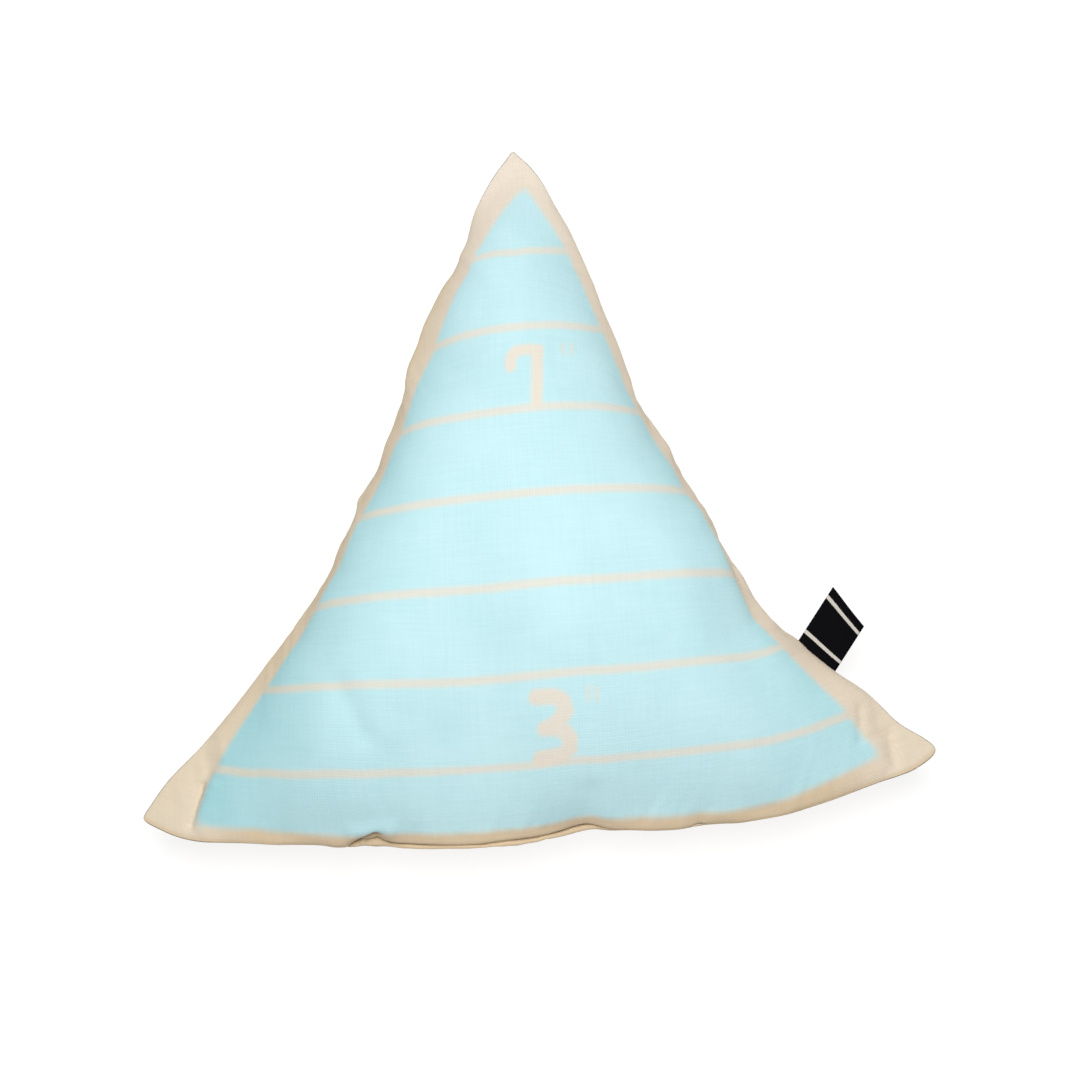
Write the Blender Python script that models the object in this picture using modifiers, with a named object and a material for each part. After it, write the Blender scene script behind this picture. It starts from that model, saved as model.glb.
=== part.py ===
"""Triangle cushion: two canvas triangles sewn edge to edge and filled, lying on its back.

A folded woven label is caught in the right-hand seam. Metres, +Z up: +X runs along the
base seam, +Y points to the apex, and the origin is on the surface below the middle of
the cushion's outline.
"""

import math
from collections import namedtuple

import bmesh
import bpy
import numpy as np
from mathutils import Matrix, Vector

# The filled cushion, from tip to tip and from the surface up
BASE_LENGTH = 0.400        # left tip to right tip
APEX_SHIFT = 0.012         # the apex lies this far right of the middle of the base
APEX_REACH = 0.3405        # from the base tips to the apex, along Y
RIGHT_TIP_RISE = 0.003     # the right tip lies this much nearer the apex than the left tip
SEAM_HEIGHT = 0.046        # of the stitched edge above the surface
TIP_DROP = 0.006           # the thin tips hang this far below the rest of the seam
CROWN = 0.050              # rise of the front panel above the seam
BELLY = 0.064              # fall of the back panel below the seam, before it lies flat
FULLNESS = 0.75            # power of the crown's section: a lower one is rounder at the seam
REST_BLEND = 0.006         # height over which the back panel turns onto the surface
EAR_REACH = 0.13           # share of a side that each flat, unfilled tip takes
EAR_FLATNESS = 0.45        # share of its fullness that a tip loses
SEAM_FADE = 4              # power with which a seam's shape fades towards the opposite tip
FOLD_SPREAD = 0.25         # widening of a fold's trough for each metre from its seam
FOLD_ONSET = 0.25          # share of the crown at which a trough has its whole depth
BACK_FOLD = 0.5            # depth of a trough on the back panel against the front one
PANEL_ROWS = 54            # rows of cloth facets in each panel
WELD = 0.00001             # seam points of the two panels nearer than this are one

TIPS = {
    "left": Vector((-BASE_LENGTH / 2, 0, SEAM_HEIGHT - TIP_DROP)),
    "right": Vector((BASE_LENGTH / 2, RIGHT_TIP_RISE, SEAM_HEIGHT - TIP_DROP)),
    "apex": Vector((APEX_SHIFT, APEX_REACH, SEAM_HEIGHT - TIP_DROP)),
}

# Each side's two tips, with the third tip that lies opposite
SIDES = {
    "base": ("left", "right", "apex"),
    "left": ("left", "apex", "right"),
    "right": ("right", "apex", "left"),
}

# How far each seam is drawn in from the straight line between its tips, as
# (share of the side, distance); a minus is bowed out, as the base is by the fill
DRAWN_IN = {
    "base": [(0, 0), (0.04, -0.0098), (0.09, -0.0155), (0.20, -0.0205), (0.30, -0.0250),
             (0.43, -0.0300), (0.52, -0.0280), (0.64, -0.0295), (0.76, -0.0283),
             (0.84, -0.0233), (0.92, -0.0143), (0.97, -0.0080), (1, 0)],
    "left": [(0, 0), (0.05, -0.0005), (0.12, 0.0078), (0.24, 0.0163), (0.38, 0.0224),
             (0.50, 0.0190), (0.60, 0.0135), (0.70, 0.0045), (0.80, 0.0025),
             (0.92, -0.0025), (1, 0)],
    "right": [(0, 0), (0.04, 0.0040), (0.10, 0.0120), (0.19, 0.0240), (0.28, 0.0318),
              (0.38, 0.0302), (0.52, 0.0243), (0.66, 0.0165), (0.80, 0.0045),
              (0.94, -0.0033), (1, 0)],
}

# The folds where the stitching gathers the cloth: the seam is nipped in there, and a trough
# of that half width, reach, depth and sideways lean runs up both panels
Fold = namedtuple("Fold", "side share nip half_width reach depth lean")
FOLDS = [
    Fold("base", 0.285, 0.0030, 0.009, 0.050, 0.0055, -0.5),
    Fold("base", 0.100, 0.0008, 0.008, 0.030, 0.0020, 0.2),
    Fold("base", 0.570, 0.0030, 0.018, 0.045, 0.0045, 0.0),
    Fold("base", 0.712, 0.0015, 0.007, 0.030, 0.0025, 0.3),
    Fold("left", 0.560, 0.0015, 0.009, 0.040, 0.0035, 0.2),
    Fold("left", 0.640, 0.0032, 0.010, 0.035, 0.0035, 0.0),
    Fold("left", 0.845, 0.0022, 0.010, 0.030, 0.0025, 0.0),
    Fold("right", 0.255, 0.0015, 0.010, 0.040, 0.0035, -0.2),
    Fold("right", 0.605, 0.0035, 0.011, 0.035, 0.0040, 0.2),
    Fold("right", 0.740, 0.0008, 0.010, 0.030, 0.0025, 0.0),
]

# The folded label in the right-hand seam
LABEL_SHARE = 0.187        # its middle, as a share of the right side from the right tip
LABEL_WIDTH = 0.023        # along the seam
LABEL_LENGTH = 0.031       # out from the seam to the fold
LABEL_SLANT = 0.10         # its apex side is longer and its tip side shorter by this share
LABEL_LEAN = 52            # degrees from +X to the way it points
LABEL_CLOTH = 0.0010       # thickness of one layer
LABEL_GAP = 0.0006         # air between the two layers
LABEL_CURL = 0.0030        # rise of the fold above the seam
SEW_GAP = 0.0003           # between the label's raw ends and the seam
LABEL_ROWS = 8             # facets across the label
LABEL_STEPS = 10           # facets along each layer
FOLD_STEPS = 6             # facets round the fold

CANVAS_COLOUR = (0.78, 0.72, 0.60, 1)
LABEL_COLOUR = (0.006, 0.005, 0.008, 1)


def smooth_curve(rows, share):
    """A smooth curve through (share, value) rows, with each row's slope from its neighbours."""
    places, values = np.array(rows, float).T
    slopes = np.gradient(values, places)
    i = int(np.clip(np.searchsorted(places, share, side="right") - 1, 0, len(places) - 2))
    step = places[i + 1] - places[i]
    t = (share - places[i]) / step
    rise = (3 - 2 * t) * t * t
    start_bend = t * (1 - t) * (1 - t) * step * slopes[i]
    end_bend = t * t * (t - 1) * step * slopes[i + 1]
    return values[i] + (values[i + 1] - values[i]) * rise + start_bend + end_bend


def side_frame(side):
    """A side's first tip, its length, the direction along it and the direction into the cushion."""
    first, second, opposite = (TIPS[name] for name in SIDES[side])
    along = second - first
    length = along.length
    along.normalize()
    inward = Vector((-along.y, along.x, 0))
    if inward.dot(opposite - first) < 0:
        inward.negate()
    return first, length, along, inward


def seam_offset(side, share):
    """Distance from the straight side in to the seam, with the nips of the folds."""
    length = side_frame(side)[1]
    offset = smooth_curve(DRAWN_IN[side], share)
    for fold in FOLDS:
        if fold.side == side:
            along = (share - fold.share) * length
            offset += fold.nip * math.exp(-(along / fold.half_width) ** 2)
    return offset


def seam_height(shares):
    """The seam is level between the tips and drops smoothly at each of them."""
    past_middle = max(0.0, 2 * max(shares.values()) - 1)
    return SEAM_HEIGHT - TIP_DROP * past_middle ** 3


def outline_point(shares):
    """Where the cloth point with these shares of the three tips lies, seen from above.

    A side's offset is whole on its seam and fades towards the opposite tip.
    """
    point = sum((shares[name] * tip for name, tip in TIPS.items()), Vector())
    for side, (_, second, opposite) in SIDES.items():
        near = 1 - shares[opposite]
        if near > 0:
            inward = side_frame(side)[3]
            point += inward * seam_offset(side, shares[second] / near) * near ** SEAM_FADE
    return point


def fold_depth(shares):
    """How far the troughs at the gathered places sink a panel.

    Each trough starts at its seam, is deepest a third of the way along its reach and then
    fades; it leans sideways and widens as it runs up the panel.
    """
    sink = 0.0
    for fold in FOLDS:
        first, second, opposite = SIDES[fold.side]
        near = 1 - shares[opposite]
        if near == 0:
            continue
        _, length, _, inward = side_frame(fold.side)
        from_seam = shares[opposite] * (TIPS[opposite] - TIPS[first]).dot(inward)
        along = (shares[second] / near - fold.share) * length - fold.lean * from_seam
        run = 3 * from_seam / fold.reach
        width = fold.half_width + FOLD_SPREAD * from_seam
        sink += fold.depth * run * math.exp(1 - run) * math.exp(-(along / width) ** 2)
    return sink


def panel_rise(shares):
    """Share of the crown: nought on the seams, one in the middle, less in the flat tips."""
    product = 27 * math.prod(shares.values())
    ear = max(0.0, (max(shares.values()) - (1 - EAR_REACH)) / EAR_REACH)
    return product ** FULLNESS * (1 - EAR_FLATNESS * math.sqrt(ear))


def on_surface(height):
    """The back panel turns onto the surface smoothly and then lies exactly on it."""
    if height >= REST_BLEND:
        return height
    if height <= -REST_BLEND:
        return 0.0
    return (height + REST_BLEND) ** 2 / (4 * REST_BLEND)


def filled_point(shares, front):
    """A point of the filled cushion, on its front or its back panel."""
    point = outline_point(shares)
    seam = seam_height(shares)
    rise = panel_rise(shares)
    fold = fold_depth(shares) * min(1.0, rise / FOLD_ONSET)
    if front:
        point.z = seam + CROWN * rise - fold
    else:
        point.z = on_surface(seam - BELLY * rise + BACK_FOLD * fold)
    return point


def tip_shares(point, corners):
    """Shares of the three tips that give a point of the flat triangle, in half rows."""
    matrix = Matrix([[corner.x for corner in corners], [corner.y for corner in corners], [1, 1, 1]])
    shares = matrix.inverted() @ Vector((point.x, point.y, 1))
    half_rows = 2 * PANEL_ROWS
    return {name: round(share * half_rows) / half_rows for name, share in zip(TIPS, shares)}


def cushion_mesh():
    """Two flat triangles of cloth, one on the other, filled and welded along their seams.

    The last facet at each tip touches both seams, so it is split down its middle: the point
    between gives the tip its thickness.
    """
    mesh = bmesh.new()
    triangle = bmesh.ops.create_circle(mesh, cap_ends=True, segments=3, radius=1.0)
    corners = [vertex.co.copy() for vertex in triangle["verts"]]
    bmesh.ops.subdivide_edges(mesh, edges=mesh.edges[:], cuts=PANEL_ROWS - 1, use_grid_fill=True)
    last_facets = [(tip, tip.link_faces[0]) for tip in mesh.verts if len(tip.link_faces) == 1]
    across = [edge for tip, facet in last_facets for edge in facet.edges if tip not in edge.verts]
    bmesh.ops.subdivide_edges(mesh, edges=across, cuts=1)
    front = mesh.verts[:]
    copy = bmesh.ops.duplicate(mesh, geom=mesh.verts[:] + mesh.edges[:] + mesh.faces[:])
    back = [piece for piece in copy["geom"] if isinstance(piece, bmesh.types.BMVert)]
    undersides = [piece for piece in copy["geom"] if isinstance(piece, bmesh.types.BMFace)]
    bmesh.ops.reverse_faces(mesh, faces=undersides)
    for panel, is_front in ((front, True), (back, False)):
        for vertex in panel:
            vertex.co = filled_point(tip_shares(vertex.co, corners), is_front)
    bmesh.ops.remove_doubles(mesh, verts=mesh.verts, dist=WELD)
    return mesh


def label_path():
    """The label's middle line from one raw end round the fold to the other: (out, up)."""
    half = (LABEL_CLOTH + LABEL_GAP) / 2
    straight = LABEL_LENGTH - half - LABEL_CLOTH / 2
    upper = [(straight * i / LABEL_STEPS, half) for i in range(LABEL_STEPS)]
    turns = [math.pi * i / FOLD_STEPS for i in range(FOLD_STEPS + 1)]
    fold = [(straight + half * math.sin(turn), half * math.cos(turn)) for turn in turns]
    lower = [(out, -up) for out, up in reversed(upper)]
    return upper + fold + lower


def label_mesh():
    """An open strip along the label's path, which Solidify then thickens."""
    mesh = bmesh.new()
    path = label_path()
    first, length, along, inward = side_frame("right")
    lean = math.radians(LABEL_LEAN)
    out = Vector((math.cos(lean), math.sin(lean), 0))
    start = SEW_GAP / abs(out.dot(inward))
    bmesh.ops.create_grid(mesh, x_segments=LABEL_ROWS, y_segments=len(path) - 1, size=1.0)
    for vertex in mesh.verts:
        across = vertex.co.x / 2
        reach, up = path[round((vertex.co.y + 1) / 2 * (len(path) - 1))]
        share = LABEL_SHARE + across * LABEL_WIDTH / length
        root = first + along * share * length + inward * seam_offset("right", share)
        reach *= 1 + 2 * LABEL_SLANT * across
        curl = LABEL_CURL * (reach / LABEL_LENGTH) ** 2
        seam = seam_height({"left": 0.0, "right": 1 - share, "apex": share})
        vertex.co = root + out * (start + reach)
        vertex.co.z = seam + up + curl
    bmesh.ops.recalc_face_normals(mesh, faces=mesh.faces)
    return mesh


def material(name, colour, roughness):
    """A plain cloth material."""
    cloth = bpy.data.materials.new(name)
    cloth.use_nodes = True
    shader = cloth.node_tree.nodes["Principled BSDF"]
    shader.inputs["Base Color"].default_value = colour
    shader.inputs["Roughness"].default_value = roughness
    shader.inputs["Metallic"].default_value = 0.0
    return cloth


def add_object(name, mesh, cloth, collection):
    """A smooth-shaded object in the cushion's collection."""
    data = bpy.data.meshes.new(name)
    mesh.to_mesh(data)
    mesh.free()
    data.materials.append(cloth)
    data.shade_smooth()
    piece = bpy.data.objects.new(name, data)
    collection.objects.link(piece)
    return piece


def main():
    for old in list(bpy.data.objects):
        bpy.data.objects.remove(old)
    collection = bpy.data.collections.new("triangle_cushion")
    bpy.context.scene.collection.children.link(collection)

    canvas = material("cotton canvas", CANVAS_COLOUR, 0.85)
    woven_tape = material("woven label", LABEL_COLOUR, 0.70)
    cushion = add_object("cushion", cushion_mesh(), canvas, collection)
    label = add_object("label", label_mesh(), woven_tape, collection)
    layers = label.modifiers.new("cloth thickness", "SOLIDIFY")
    layers.thickness = LABEL_CLOTH
    layers.offset = 0

    middle = bpy.data.objects.new("middle", None)
    collection.objects.link(middle)
    box = [Vector(corner) for corner in cushion.bound_box]
    centre = (box[0] + box[6]) / 2
    middle.location = (-centre.x, -centre.y, 0)
    for piece in (cushion, label):
        piece.parent = middle


main()
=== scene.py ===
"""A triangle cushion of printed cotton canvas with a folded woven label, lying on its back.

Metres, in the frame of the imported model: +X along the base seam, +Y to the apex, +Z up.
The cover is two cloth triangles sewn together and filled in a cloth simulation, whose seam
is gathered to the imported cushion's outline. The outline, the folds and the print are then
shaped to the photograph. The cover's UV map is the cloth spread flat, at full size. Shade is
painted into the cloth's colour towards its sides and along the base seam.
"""

import math
from collections import namedtuple

import bpy
import numpy as np
from mathutils import Matrix, Vector


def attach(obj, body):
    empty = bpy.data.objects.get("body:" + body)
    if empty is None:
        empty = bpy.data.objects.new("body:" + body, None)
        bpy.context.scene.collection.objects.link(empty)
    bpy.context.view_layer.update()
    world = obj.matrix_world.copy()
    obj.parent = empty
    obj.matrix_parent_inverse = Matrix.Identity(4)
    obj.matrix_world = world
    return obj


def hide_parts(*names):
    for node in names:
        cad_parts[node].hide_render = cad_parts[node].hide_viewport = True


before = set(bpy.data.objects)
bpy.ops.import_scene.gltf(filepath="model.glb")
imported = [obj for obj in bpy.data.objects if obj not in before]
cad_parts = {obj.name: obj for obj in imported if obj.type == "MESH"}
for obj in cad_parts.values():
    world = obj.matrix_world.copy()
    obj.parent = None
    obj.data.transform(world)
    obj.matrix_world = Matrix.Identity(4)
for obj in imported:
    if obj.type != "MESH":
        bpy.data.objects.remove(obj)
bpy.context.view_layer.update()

NOUGHT = 1e-9               # a share or a length this small counts as nought

# The two cut triangles
PANEL_SIDE = 0.448          # of each cut triangle, seam to seam
PANEL_HEIGHT = PANEL_SIDE * math.sqrt(3) / 2
FRONT_AT = (0.010, 0.010)   # lower left corner of the front panel on the cutting table
BACK_AT = (0.500, 0.010)    # and of the back panel
PANEL_SPLIT = 0.480         # front and back lie on the two sides of this place along U

# The filling, as a cloth simulation
TRIAL_CELLS = 32            # cloth facets along each side of a panel's three patches
GATHER_FRAMES = 20          # frames in which the seam is drawn in to its outline
FILL_FRAMES = 38            # frames in all
PRESSURE = 60
TENSION, COMPRESSION, SHEAR, BENDING = 30, 0.5, 0.3, 2
POINT_MASS, AIR_DRAG = 0.3, 4
SOLVER_STEPS = 8            # in each frame
SEAM_LEAN = 0.05            # a packed facet that leans up or down by more is front or back
START_CROWN = 0.012         # how far the flat panels already bulge when the filling starts
START_BASE = -0.176         # Y of the base seam before it is gathered
EASE_ROUNDS = 500           # rounds of smoothing that spread the filling evenly
EASE_SHARE, EASE_BACK = 0.6, -0.615   # a round's step to the neighbours' mean and back again
EASE_FROM, EASE_TO = 0.001, 0.018   # from the seam: where smoothing starts, and is whole
LAY_DEGREE = 4              # of the polynomial that evens out how the cloth runs
LAY_REACH = (0.015, 0.050)  # from the seam: where it starts to hold, and holds wholly

# The finished cloth
CELLS = 128                 # facets along the same patches
CROWDING = 0.68             # share by which the facets are narrower at the seam than inside
CROWDED = 0.05              # and over how much of a patch
ROLL_WIDTH = 0.0030         # from the seam to the fullest place of the roll beside it
ROLL_RISE = 0.0008          # how far that roll stands out
ROLL_FADE = (0.028, 0.080)  # from a tip: where the roll starts to rise, and is whole
TIP_BULK = 0.0010           # what the turned-in seam allowance adds to each side of a tip
SEAM_SINK = 0.0003          # how far the stitches hold the seam itself in
TUCK_SINK = 0.0014          # and where the base seam is drawn in
SEAM_SLOT = 0.0010          # half the width of that slot between the two panels
PUCKER_DEPTH = 0.00016      # of the small ripples that the stitching draws into the cloth
PUCKER_REACH = 0.0080       # from the seam to where they are deepest
PUCKER_WAVES = ((0.0091, 0), (0.0157, 1.3), (0.0263, 2.1))   # their lengths, and turns in radians
PUCKER_SWELL = 0.083        # length of the slow wave in which they grow and fade
FLOOR_ROLL = 0.0030         # roundness of the edge of the part that rests on the floor

# The thin unfilled tips, left, right and apex: on the flat cloth, the way from the point in
# over the crease, how far along it the filling starts and is whole, the share of the fullness
# left before it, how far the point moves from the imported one, and the roundness of the point
Tip = namedtuple("Tip", "way start whole left move radius")
TIPS = [
    Tip((0.952, -0.306), 0.0205, 0.0290, 0.15, (-0.0040, 0.0004), 0.0028),
    Tip((-0.970, 0.240), 0.0255, 0.0380, 0.22, (0.0068, -0.0009), 0.0055),
    Tip((0.0, -1.0), 0.010, 0.034, 0.45, (-0.0004, 0.0010), 0.0012),
]
TIP_SLOPE = 0.12            # share of a side over which its slope at the tip is taken
TIP_REACH = (0.044, 0.058)  # past this from the point, beside the seams too, it is filled
TIP_STRETCH = 0.012         # length over which the point's move fades along the seams

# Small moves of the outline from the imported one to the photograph's: for each side from its
# first tip, the place as a share of it, the half-width and the way out, in millimetres
SEAM_MOVES = [
    [(0.13, 0.025, -1.1), (0.27, 0.030, 1.6), (0.34, 0.045, 1.5), (0.42, 0.045, 1.0),
     (0.49, 0.040, 1.5), (0.58, 0.025, 1.4), (0.80, 0.030, 0.6)],
    [(0.055, 0.030, -2.7), (0.12, 0.025, 0.8), (0.22, 0.015, 0.9), (0.28, 0.025, -1.6),
     (0.42, 0.020, -1.2), (0.475, 0.025, -2.2), (0.55, 0.030, -1.3), (0.63, 0.040, -1.5),
     (0.90, 0.035, -1.6), (0.97, 0.020, 0.6)],
    [(0.04, 0.025, 0.7), (0.13, 0.030, -1.0), (0.187, 0.020, -2.0), (0.30, 0.022, -1.3),
     (0.41, 0.022, -1.1), (0.48, 0.035, -1.6), (0.60, 0.030, -2.1), (0.70, 0.050, -1.7),
     (0.80, 0.040, -0.5), (0.94, 0.060, -1.5)],
]
MOVE_REACH = 0.045          # how far those moves reach into the cushion

# Where the base seam is drawn in and the back panel rolls out past it: the place along the
# seam from its middle, the half-width and the depth, in millimetres
BASE_TUCKS = [(-93, 4.0, 2.2), (-76, 24, 2.3), (-16, 38, 2.9), (19, 12, 1.5), (85, 5, 0.9)]
TUCK_REACH = 0.012          # how far a tuck draws the panels in
TUCK_WHOLE = 0.0015         # depth at which it opens the whole slot between the panels
BACK_ROLL = 0.0042          # from the seam to the fullest place of the back panel's roll
BACK_ROLL_OUT = 1.2         # how far that roll stands out, as a share of the tuck

# Folds and dents of the front panel on the flat cloth, in millimetres from the middle of
# the base seam: start x, y, end x, y, half-width and depth; a minus depth is a ridge. In the
# thin tips the back panel bends with the front one
FRONT_FOLDS = [
    (-107, 0.5, -94, 5, 2.4, 3.8),      # the gather in the base seam, between its two ridges
    (-104, 9, -86, 10, 5.0, -1.6),
    (-118, 3, -109, 4, 5.0, -1.0),
    (-103, 81, -91, 59, 7.0, 1.6),      # the slack cloth over it
    (-84, 84, -78, 62, 8.0, -0.9),
    (-193, 26, -198, 6, 1.6, 2.0),      # the crease of the left tip
    (-186, 26, -192, 6, 3.5, -1.3),
    (191, 38, 187, 24, 3.0, 1.2),       # the two creases of the right tip
    (204, 19, 200, 6, 2.4, 1.5),
    (196, 19, 192, 7, 4.0, -1.0),
    (24, 3, 26, 24, 7.0, 1.2),          # dents over the base seam
    (85, 1, 90, 10, 3.0, 0.6),
]

# The photograph's camera
CAMERA_TARGET = (0.0095, -0.0317, 0.055)
CAMERA_DISTANCE = 1.3
CAMERA_ELEVATION = 77.0
CAMERA_ROLL = 4.65
CAMERA_LENS = 85.2


def linear(code):
    """A colour written as sRGB hex, as the linear colour that a shader takes."""
    shares = [int(code[i:i + 2], 16) / 255 for i in (1, 3, 5)]
    return [c / 12.92 if c <= 0.04045 else ((c + 0.055) / 1.055) ** 2.4 for c in shares] + [1.0]


def add(tree, kind, inputs=(), **settings):
    """Adds one shader node with its settings, and fills or links its inputs."""
    node = tree.nodes.new("ShaderNode" + kind)
    for name, value in settings.items():
        setattr(node, name, value)
    for socket, value in dict(inputs).items():
        if isinstance(value, bpy.types.Node):
            value = value.outputs[0]
        if isinstance(value, bpy.types.NodeSocket):
            tree.links.new(value, node.inputs[socket])
        else:
            node.inputs[socket].default_value = value
    return node


def new_material(name):
    """An empty material, its node tree and its Principled shader."""
    material = bpy.data.materials.new(name)
    material.use_nodes = True
    return material, material.node_tree, material.node_tree.nodes["Principled BSDF"]


def placed(name, data):
    """A new object that holds this mesh, light or camera, in the scene at the origin."""
    piece = bpy.data.objects.new(name, data)
    bpy.context.scene.collection.objects.link(piece)
    return piece


def grid_facets(cell):
    """The four-cornered facets of one or more grids, from the numbers of their points."""
    corners = [cell[..., :-1, :-1], cell[..., 1:, :-1], cell[..., 1:, 1:], cell[..., :-1, 1:]]
    return np.stack(corners, -1).reshape(-1, 4)


def woven_mesh(name, points, facets, layout, flat):
    """A smooth mesh, whose UV map gives where each facet's corners lie on the flat cloth."""
    mesh = bpy.data.meshes.new(name)
    mesh.from_pydata(points.tolist(), [], facets.tolist())
    layer = mesh.uv_layers.new(name=layout)
    layer.data.foreach_set("uv", flat.astype(np.float32).ravel())
    mesh.shade_smooth()
    return mesh


def smooth_step(value, start, end):
    """0 before start, 1 after end, and the smooth cubic between them."""
    t = np.clip((value - start) / (end - start), 0, 1)
    return t * t * (3 - 2 * t)


def hump(gap, width):
    """0 at no gap, 1 at this width, and fading further away: a line times an exponential."""
    reach = gap / width
    return reach * np.exp(1 - reach)


def smooth_row(row, places):
    """Points of a smooth curve through evenly spaced points, at places from 0 to 1.

    Between two points it is the cubic that also takes its slopes from the points around, and
    past each end the row goes on with its last bend.
    """
    last = len(row) - 1
    row = np.concatenate([3 * (row[:1] - row[1:2]) + row[2:3], row,
                          3 * (row[-1:] - row[-2:-1]) + row[-3:-2]])
    i = np.clip((places * last).astype(int), 0, last - 1)
    t = (places * last - i).reshape((-1,) + (1,) * (row.ndim - 1))
    before, here, there, after = (row[i + k] for k in range(4))
    return here + 0.5 * t * (there - before + t * (
        2 * before - 5 * here + 4 * there - after + t * (3 * (here - there) + after - before)))


def packed_seam():
    """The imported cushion's stitched edge, as a row of points for each side, from tip to tip.

    Its points belong both to facets that look up and to facets that look down. They are put
    in order of their bearing from the middle. The tips are left, right and apex.
    """
    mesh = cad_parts["cushion"].data
    points = np.zeros(len(mesh.vertices) * 3)
    mesh.vertices.foreach_get("co", points)
    mesh.calc_loop_triangles()
    corners = np.zeros(len(mesh.loop_triangles) * 3, int)
    mesh.loop_triangles.foreach_get("vertices", corners)
    points, same = np.unique(points.reshape(-1, 3).round(5), axis=0, return_inverse=True)
    facets = same.ravel()[corners].reshape(-1, 3)
    a, b, c = (points[facets[:, k]] for k in range(3))
    lean = np.cross(b - a, c - a)
    up = lean[:, 2] / np.linalg.norm(lean, axis=1)
    seam = points[np.intersect1d(facets[up > SEAM_LEAN], facets[up < -SEAM_LEAN])]
    middle = seam.mean(0)
    seam = seam[np.argsort(np.arctan2(seam[:, 1] - middle[1], seam[:, 0] - middle[0]))]
    tips = [np.argmin(seam[:, 0]), np.argmax(seam[:, 0]), np.argmax(seam[:, 1])]
    rows = []
    for start, end in zip(tips, tips[1:] + tips[:1]):
        turned = np.roll(seam, -start, axis=0)
        rows.append(turned[:(end - start) % len(seam) + 1])
    return rows


def patch_steps(cells, crowding):
    """Steps from 0 at the seam to 1 inside, narrower near the seam by this share.

    A step's width is 1 less the crowding, which fades inwards as an exponential.
    """
    even = np.linspace(0, 1, cells + 1)
    steps = even + crowding * CROWDED * (np.exp(-even / CROWDED) - 1)
    return steps / steps[-1]


def panel_shares(steps):
    """Shares of the three tips over a triangle cut into three four-sided patches.

    Patch k runs bilinearly between tip k, the middles of its two sides and the middle.
    """
    s, t = np.meshgrid(steps, steps, indexing="ij")
    s, t = s[..., None], t[..., None]
    tips = np.eye(3)
    return np.stack([
        (1 - s) * (1 - t) * tips[k] + s * (1 - t) * (tips[k] + tips[k - 2]) / 2
        + s * t / 3 + (1 - s) * t * (tips[k] + tips[k - 1]) / 2
        for k in range(3)])


def flat_place(shares):
    """Where a point with these shares of the tips lies on its flat triangle, in metres."""
    corners = np.array([[0, 0], [PANEL_SIDE, 0], [PANEL_SIDE / 2, PANEL_HEIGHT]])
    return shares @ corners


def sewn_panels(steps):
    """Two panels of cloth facets that share the points of their seam.

    Gives each point's shares and side (1 front, -1 back), the facets and each facet's side,
    and, for the places of the six patch grids, the point there and each point's first place.
    """
    rows = len(steps)
    shares = panel_shares(steps).reshape(-1, 3)
    cell = np.arange(3 * rows ** 2).reshape(3, rows, rows)
    facets = grid_facets(cell)
    both = np.concatenate([shares, shares])
    side = np.repeat([1, -1], len(shares))
    inside = both.min(1) > NOUGHT
    key = np.column_stack([both.round(7), side * inside])
    _, first, same = np.unique(key, axis=0, return_index=True, return_inverse=True)
    facets = np.concatenate([facets, facets[:, ::-1] + len(shares)])
    facet_side = np.repeat([1, -1], len(facets) // 2)
    same = same.ravel()
    return both[first], side[first], same[facets], facet_side, same, first


def seam_place(shares, rows):
    """Where the seam's points lie: on the row of their side, at their share along it."""
    places = np.zeros((len(shares), 3))
    for k, row in enumerate(rows):
        on_side = shares[:, (k + 2) % 3] < NOUGHT
        places[on_side] = smooth_row(row, shares[on_side, (k + 1) % 3])
    return places


def cloth_mesh(name, points, facets, facet_side, shares):
    """The sewn cover, whose UV map has its two panels side by side on the cutting table."""
    corner = np.where((facet_side > 0)[:, None], FRONT_AT, BACK_AT)
    flat = flat_place(shares)[facets] + corner[:, None, :]
    return woven_mesh(name, points, facets, "cloth", flat)


def fill_cover(mesh, target, on_seam):
    """Fills the sewn panels with air pressure while their seam is gathered to its outline."""
    cover = placed("cover_trial", mesh)
    cover.shape_key_add(name="Basis")
    gathered = cover.shape_key_add(name="gathered")
    gathered.data.foreach_set("co", target.astype(np.float32).ravel())
    for value, moment in ((0, 1), (1, GATHER_FRAMES)):
        gathered.value = value
        gathered.keyframe_insert("value", frame=moment)
    pins = cover.vertex_groups.new(name="seam")
    pins.add(np.flatnonzero(on_seam).tolist(), 1.0, "REPLACE")
    cloth = cover.modifiers.new("cloth", "CLOTH")
    cloth.point_cache.frame_end = FILL_FRAMES
    canvas = cloth.settings
    canvas.quality = SOLVER_STEPS
    canvas.mass = POINT_MASS
    canvas.air_damping = AIR_DRAG
    canvas.tension_stiffness, canvas.compression_stiffness = TENSION, COMPRESSION
    canvas.shear_stiffness, canvas.bending_stiffness = SHEAR, BENDING
    canvas.use_pressure = True
    canvas.uniform_pressure_force = PRESSURE
    canvas.effector_weights.gravity = 0
    canvas.vertex_group_mass = "seam"
    canvas.pin_stiffness = 1
    for moment in range(1, FILL_FRAMES + 1):
        bpy.context.scene.frame_set(moment)
    view = bpy.context.evaluated_depsgraph_get()
    filled = np.zeros(len(target) * 3, np.float32)
    cover.evaluated_get(view).data.vertices.foreach_get("co", filled)
    bpy.data.objects.remove(cover)
    bpy.context.scene.frame_set(1)
    return filled.reshape(-1, 3).astype(float)


def seam_gap(shares):
    """Distance from each point of the flat cloth to the nearest seam."""
    return shares.min(1) * PANEL_HEIGHT


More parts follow.
